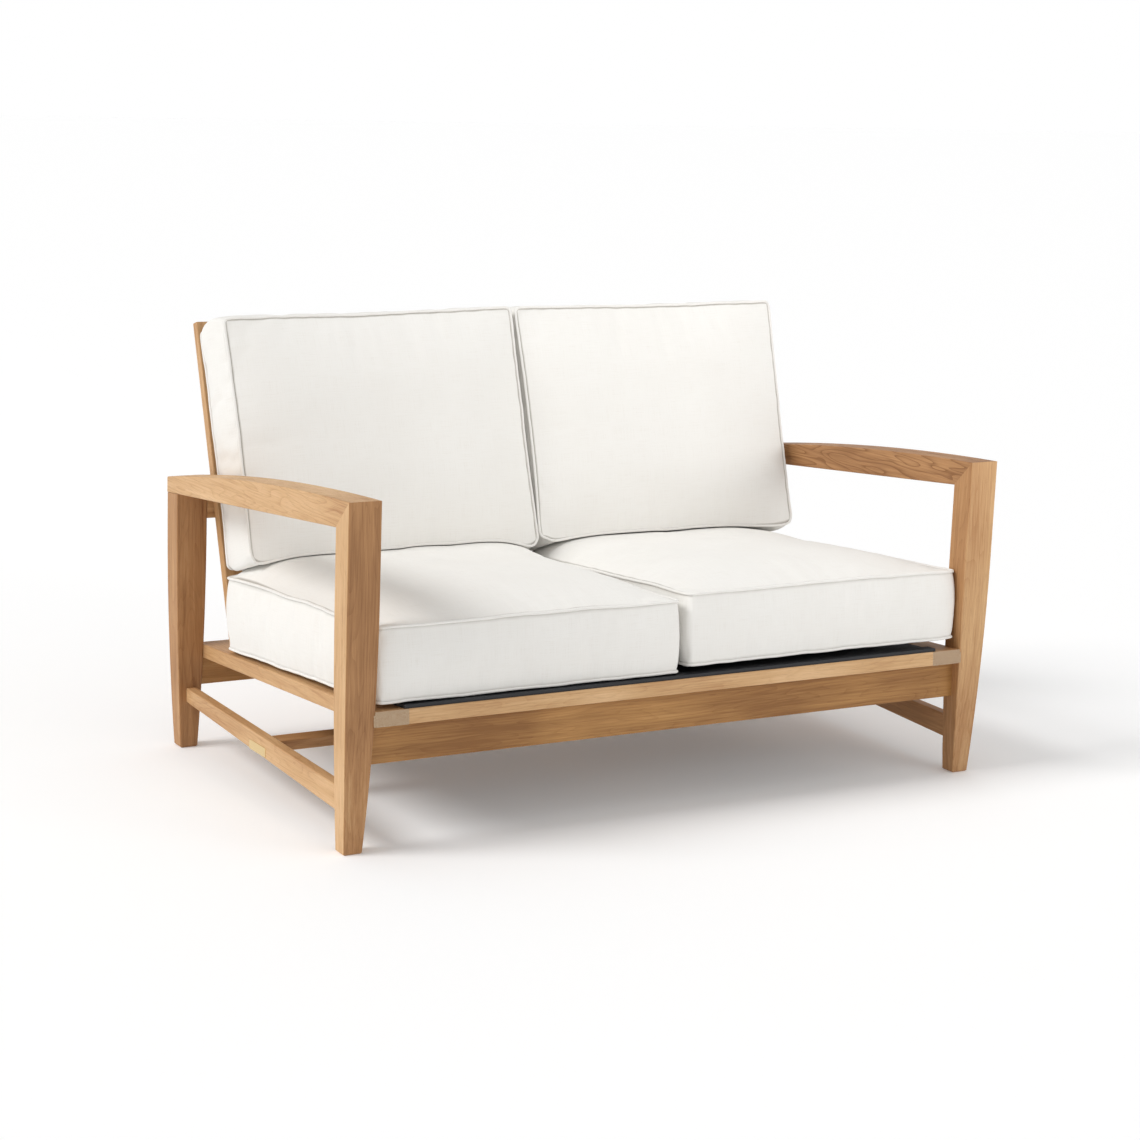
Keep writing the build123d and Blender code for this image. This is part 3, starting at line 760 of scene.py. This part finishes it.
def add_zip_flap(design, points):
    """The flap over the zip, along the middle of the boxing's hidden side."""
    outward = design.turn[:, 1] * design.zip_end
    line = points[design.zip_side] + outward * ZIP_STANDS_OUT * MM
    outward = np.repeat(outward[None], len(line), axis=0)
    add_trim(design, tube(design.node + "_zip_flap", line, ZIP_FLAP, outward, closed=False))


def add_welts(design, points):
    """Piping along both seams, a little proud of the cover."""
    for level, ring, sign in (("top", design.top_ring, 1), ("base", design.base_ring, -1)):
        line = points[ring]
        away = design.outward(design.local(line)[:, :2]) @ design.turn[:, :2].T
        outward = away + WELT_LEAN * sign * design.turn[:, 2]
        outward /= np.linalg.norm(outward, axis=1, keepdims=True)
        add_trim(design, tube(f"{design.node}_welt_{level}", line + outward * WELT_STANDS_OUT * MM,
                              ROUND_WELT, outward))


def add_cushion(design, seed, settle):
    """The cover, filled and settled among its neighbours, with its welts and zip flap."""
    points = hand_sewn(design.move_corners(design.points), seed)
    cover = bpy.data.objects.new(design.node + "_cover", design.make_mesh(points))
    bpy.context.collection.objects.link(cover)
    held = [int(k) for k in np.nonzero(design.seam >= 1)[0]]
    filled = design.local(inflate(cover, held))
    points = points + (filled - points) * (1, 1, FILL_KEPT)
    points = settle(points)
    cover.data.vertices.foreach_set("co", design.world(points).ravel())
    cover.data.update()
    smooth_by_subdivision(cover)
    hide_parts(design.node)
    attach(cover, design.node)
    smoothed = coordinates(cover.data)[:len(design.points)]
    add_welts(design, smoothed)
    add_zip_flap(design, smoothed)
    return cover


def between(sign, width=LEG_INNER):
    """The least and greatest X of the points of a cushion on one side of the loveseat."""
    return sorted((MIDDLE_GAP / 2 * sign * MM, width * sign * MM))


def on_the_deck(design, sign):
    """Keeps a seat cushion's points above the sling and its rear batten, between the legs, and
    off the other seat cushion."""
    def settle(points):
        along = points[:, 1] + SEAT_MIDDLE[1]
        floor = np.where(along > REAR_BATTEN - BATTEN_SLOPE, BATTEN_TOP, SLING_TOP)
        settled = points.copy()
        clearance = np.where(design.seam >= 1, SEAM_CLEARANCE, COVER_CLEARANCE)
        settled[:, 2] = np.maximum(points[:, 2], floor + clearance - SEAT_MIDDLE[2])
        placed = design.world(settled)
        for near, width in ((along < LEG_REACH, LEG_INNER), (along >= LEG_REACH, FREE_WIDTH)):
            placed[near, 0] = np.clip(placed[near, 0], *between(sign, width))
        return design.local(placed)
    return settle


def on_the_seat(design, seat, sign):
    """Draws a back cushion's points down onto the seat cushion where they are close to it, and
    keeps them off the arm, the slats and the other back cushion."""
    tree = BVHTree.FromObject(seat, bpy.context.evaluated_depsgraph_get())
    reach = SAG_REACH * MM

    def settle(points):
        points = points.copy()
        points[:, 2] = np.maximum(points[:, 2], SLAT_FRONT - BACK_MIDDLE[2])
        placed = design.world(points)
        low = points[:, 1] < -design.half_y + SAG_HEIGHT
        for k in np.nonzero(low)[0]:
            spot = Vector(placed[k])
            above = spot + Vector((0, 0, LOOK_DOWN_FROM * MM))
            hit = tree.ray_cast(above, Vector((0, 0, -1)))[0]
            if hit is None:
                continue
            rest = (SEAM_REST if design.seam[k] >= 1 else COVER_REST) * MM
            height = spot.z - hit.z
            if height < reach:
                placed[k][2] = hit.z + rest + (reach - rest) * (max(height, 0) / reach) ** SAG_POWER
        placed[:, 0] = np.clip(placed[:, 0], *between(sign))
        return design.local(placed)
    return settle


# The right-hand cushions' places, by the middle of their base on the deck and on the back. The
# left-hand ones have X turned round. Crowns are the top's and the base's. Fullness is as in
# crown_rise. Moved corners are named by their ends in X, Y and Z, 0 for low and 1 for high.
SEAT_MIDDLE = (324, 338, 12.6)
SEAT_SIZE = (638, 660)
SEAT_BOX = 135
SEAT_CORNER = 11.0
seat_crowns = {"left": (42, 8), "right": (38, 14)}
seat_fullness = {"left": (2.8, 10, 7, 12, 3, 12), "right": (6, 12, 2.5, 3.5, 3, 12)}
seat_moved = {
    "left": {(1, 0, 0): (1, 0, -1), (1, 0, 1): (1, 0, -1), (0, 0, 1): (0, 0, -1),
             (0, 1, 0): (-9, 5, -3), (0, 1, 1): (-10, 7, 4), (1, 1, 1): (0, 0, 7)},
    "right": {(0, 0, 0): (5, 0, 10), (0, 0, 1): (4, 0, 10), (1, 0, 0): (4, 0, 11),
              (1, 0, 1): (4, 0, 11), (0, 1, 0): (-2, 0, -4), (0, 1, 1): (-3, 0, 3),
              (1, 1, 1): (3, 1, 1)},
}
BACK_MIDDLE = (322.5, 400.9, 22.8)
BACK_SIZE = (639, 486.1)
BACK_BOX = 133
BACK_CROWNS = (31, 23)
BACK_CORNER = 13.0
BACK_FULLNESS = (4, 4, 4, 4, 4, 4)
BACK_END_BELLY = 9.0
back_moved = {
    "left": {(0, 0, 1): (-5, 1, 0), (1, 0, 1): (3, -4, 0), (1, 0, 0): (2, -8, 0),
             (0, 1, 1): (-5, 2, 0), (1, 1, 1): (3, 10, 0), (0, 0, 0): (1, 0, 0),
             (0, 1, 0): (1, 4, 0), (1, 1, 0): (0, 5, 0)},
    "right": {(0, 0, 1): (-7, 4, 0), (0, 0, 0): (-3, -8, 0), (1, 0, 1): (-11, 0, 0),
              (0, 1, 1): (-1, 9, 0), (1, 1, 1): (1, 10, 0), (1, 0, 0): (-6, 0, 0),
              (0, 1, 0): (0, 5, 0), (1, 1, 0): (0, 5, 0)},
}
BACK_SEED = 10
noise.seed_set(NOISE_SEED)
for number, (side, sign) in enumerate((("left", -1), ("right", 1))):
    seat = Cushion("seat_cushion_" + side, DECK_PLACE, (SEAT_MIDDLE[0] * sign,) + SEAT_MIDDLE[1:],
                   SEAT_SIZE, SEAT_BOX, *seat_crowns[side], SEAT_CORNER, seat_fullness[side],
                   seat_moved[side])
    seat_cover = add_cushion(seat, number, on_the_deck(seat, sign))
    back = Cushion("back_cushion_" + side, BACK_PLACE, (BACK_MIDDLE[0] * sign,) + BACK_MIDDLE[1:],
                   BACK_SIZE, BACK_BOX, *BACK_CROWNS, BACK_CORNER, BACK_FULLNESS,
                   back_moved[side], end_belly=BACK_END_BELLY, zip_end=-1)
    add_cushion(back, number + BACK_SEED, on_the_seat(back, seat_cover, sign))


# Bare plate on the left stretcher's outer face, in metres
PLATE_MIDDLE = (-0.0225, 0.0915)
PLATE_HALF_LENGTH = 0.0375
PLATE_HALF_HEIGHT = 0.0092
PLATE_CORNER = 0.003
PLATE_CORNER_STEPS = 5
PLATE_THICKNESS = 0.0012
PLATE_SUNK = 0.0002
PLATE_EDGE = 0.0004
PLATE_TOP_SHARE = 0.965


def plate_outline():
    """Lengthwise and upright places round the plate, from its middle."""
    outline = []
    for side_y, side_z, start in ((1, 1, 0), (-1, 1, 90), (-1, -1, 180), (1, -1, 270)):
        for step in range(PLATE_CORNER_STEPS + 1):
            angle = math.radians(start + 90 / PLATE_CORNER_STEPS * step)
            outline.append((side_y * (PLATE_HALF_LENGTH - PLATE_CORNER) + PLATE_CORNER * math.cos(angle),
                            side_z * (PLATE_HALF_HEIGHT - PLATE_CORNER) + PLATE_CORNER * math.sin(angle)))
    return outline


def bare_plate():
    low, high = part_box("side_stretcher_left")
    outline = plate_outline()
    rings = ((-PLATE_SUNK, 1.0), (PLATE_THICKNESS - PLATE_EDGE, 1.0), (PLATE_THICKNESS, PLATE_TOP_SHARE))
    vertices = []
    for out, share in rings:
        inset = (1 - share) * PLATE_HALF_HEIGHT
        for y, z in outline:
            vertices.append((low.x - out, PLATE_MIDDLE[0] + y * (1 - inset / PLATE_HALF_LENGTH),
                             PLATE_MIDDLE[1] + z * share))
    count = len(outline)
    faces = []
    for level in range(len(rings) - 1):
        for k in range(count):
            following = (k + 1) % count
            faces.append((level * count + k, level * count + following,
                          (level + 1) * count + following, (level + 1) * count + k))
    faces.append(tuple(range(count))[::-1])
    faces.append(tuple((len(rings) - 1) * count + k for k in range(count)))
    mesh = bpy.data.meshes.new("stretcher_plate")
    mesh.from_pydata(vertices, [], faces)
    mesh.materials.append(brushed_brass("brass"))
    plate = bpy.data.objects.new("stretcher_plate", mesh)
    bpy.context.collection.objects.link(plate)
    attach(plate, "frame")


bare_plate()


# Studio: a grey sky over a white horizon and floor, the sun from the left, and a gridded
# softbox in front on the right. The horizon and the sky have the height, as the sine of its
# angle, where each begins to be whole, and a grey. The rest is in metres, watts and degrees.
HORIZON = (0.06, 1.0)
SKY = (0.16, 0.62)
KEY_FROM = (-3.0, 0.5, 2.9)
KEY_STRENGTH = 1.6
KEY_SPREAD = 24
FRONT_FROM = (1.45, -2.0, 1.45)
FRONT_TOWARDS = (0.2, 0.5, 0.95)
FRONT_SIZE = (1.6, 1.2)
FRONT_POWER = 4.3
FRONT_SPREAD = 60
FLOOR_REACH = 30.0
FLOOR_WHITE = (0.93, 0.93, 0.93, 1)
FLOOR_ROUGHNESS = 0.9
FLOOR_GLOW = 0.1


def add_light(name, light, place, target=(0, 0, 0)):
    lamp = bpy.data.objects.new(name, light)
    lamp.location = place
    lamp.rotation_euler = (Vector(target) - Vector(place)).to_track_quat("-Z", "Y").to_euler()
    bpy.context.collection.objects.link(lamp)


def studio_sky():
    world = bpy.data.worlds.new("studio")
    world.use_nodes = True
    tree = world.node_tree
    direction = tree.nodes.new("ShaderNodeTexCoord")
    height = tree.nodes.new("ShaderNodeSeparateXYZ")
    tree.links.new(direction.outputs["Generated"], height.inputs[0])
    ramp = tree.nodes.new("ShaderNodeValToRGB")
    tree.links.new(height.outputs[2], ramp.inputs[0])
    for element, (position, grey) in zip(ramp.color_ramp.elements, (HORIZON, SKY)):
        element.position = position
        element.color = (grey, grey, grey, 1)
    tree.links.new(ramp.outputs[0], tree.nodes["Background"].inputs["Color"])
    bpy.context.scene.world = world


def studio_floor():
    mesh = bpy.data.meshes.new("floor")
    corners = [(x * FLOOR_REACH, y * FLOOR_REACH, 0) for x, y in ((-1, -1), (1, -1), (1, 1), (-1, 1))]
    mesh.from_pydata(corners, [], [(0, 1, 2, 3)])
    mesh.materials.append(Nodes("floor").surface({"Base Color": FLOOR_WHITE,
                                                  "Roughness": FLOOR_ROUGHNESS,
                                                  "Emission Color": (1, 1, 1, 1),
                                                  "Emission Strength": FLOOR_GLOW}))
    floor = bpy.data.objects.new("floor", mesh)
    bpy.context.collection.objects.link(floor)


def studio_lights():
    key = bpy.data.lights.new("key", "SUN")
    key.energy = KEY_STRENGTH
    key.angle = math.radians(KEY_SPREAD)
    add_light("key", key, KEY_FROM)
    front = bpy.data.lights.new("front", "AREA")
    front.shape = "RECTANGLE"
    front.size, front.size_y = FRONT_SIZE
    front.energy = FRONT_POWER
    front.spread = math.radians(FRONT_SPREAD)
    add_light("front", front, FRONT_FROM, FRONT_TOWARDS)


# The photo's camera: place in metres, angles in radians, focal length in pixels of its width
CAMERA_PLACE = (-2.64163, -4.49928, 1.46131)
CAMERA_YAW = 0.530790
CAMERA_PITCH = -0.203662
CAMERA_ROLL = 0.0365188
FOCAL_PIXELS = 2642.65
PHOTO_PIXELS = 1140
SENSOR = 36.0


def photo_camera():
    ahead = Vector((math.sin(CAMERA_YAW) * math.cos(CAMERA_PITCH),
                    math.cos(CAMERA_YAW) * math.cos(CAMERA_PITCH), math.sin(CAMERA_PITCH)))
    right = Vector((math.cos(CAMERA_YAW), -math.sin(CAMERA_YAW), 0))
    up = right.cross(ahead)
    across = right * math.cos(CAMERA_ROLL) + up * math.sin(CAMERA_ROLL)
    over = -right * math.sin(CAMERA_ROLL) + up * math.cos(CAMERA_ROLL)
    data = bpy.data.cameras.new("photo")
    data.sensor_width = SENSOR
    data.lens = FOCAL_PIXELS / PHOTO_PIXELS * SENSOR
    camera = bpy.data.objects.new("photo", data)
    turn = Matrix((across, over, -ahead)).transposed().to_4x4()
    camera.matrix_world = Matrix.Translation(CAMERA_PLACE) @ turn
    bpy.context.collection.objects.link(camera)
    bpy.context.scene.camera = camera


studio_sky()
studio_floor()
studio_lights()
bpy.context.scene.view_settings.view_transform = "Standard"
photo_camera()
